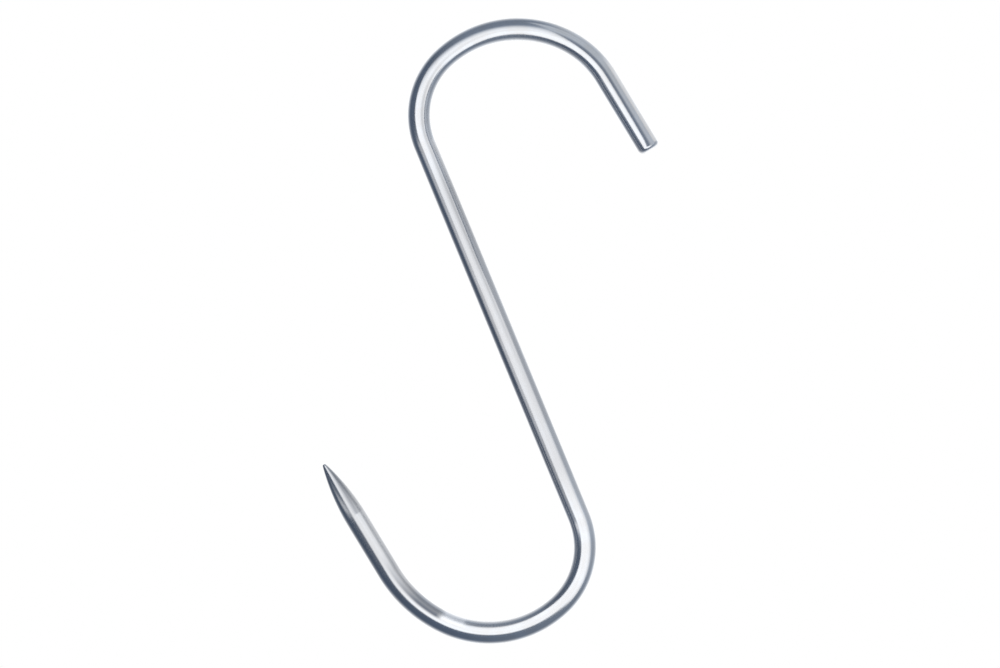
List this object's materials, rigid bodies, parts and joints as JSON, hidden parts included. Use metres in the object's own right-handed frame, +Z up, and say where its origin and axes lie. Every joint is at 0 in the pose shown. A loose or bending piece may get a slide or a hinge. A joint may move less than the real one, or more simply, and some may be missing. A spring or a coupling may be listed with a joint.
{
  "type": "meat hook",
  "caption": "Open S-shaped meat hook bent from round stainless bar, with a blunt bend for the rail and a ground point for the load.",
  "frame": {"origin": "inside of the rail bend's crown, in the middle of the bar's width, where the hook sits on its rail", "axes": "+Z up as the hook hangs, the bar bent in the XZ plane, +X towards the blunt leg, +Y through the bar's thickness"},
  "size_m": [0.0952, 0.0064, 0.1777],
  "materials": {
    "polished_steel": "bright polished stainless steel bar, with fine polishing lines along it and a finely ground point"
  },
  "bodies": {
    "root": {"hook_bar": "polished_steel"}
  },
  "joints": []
}
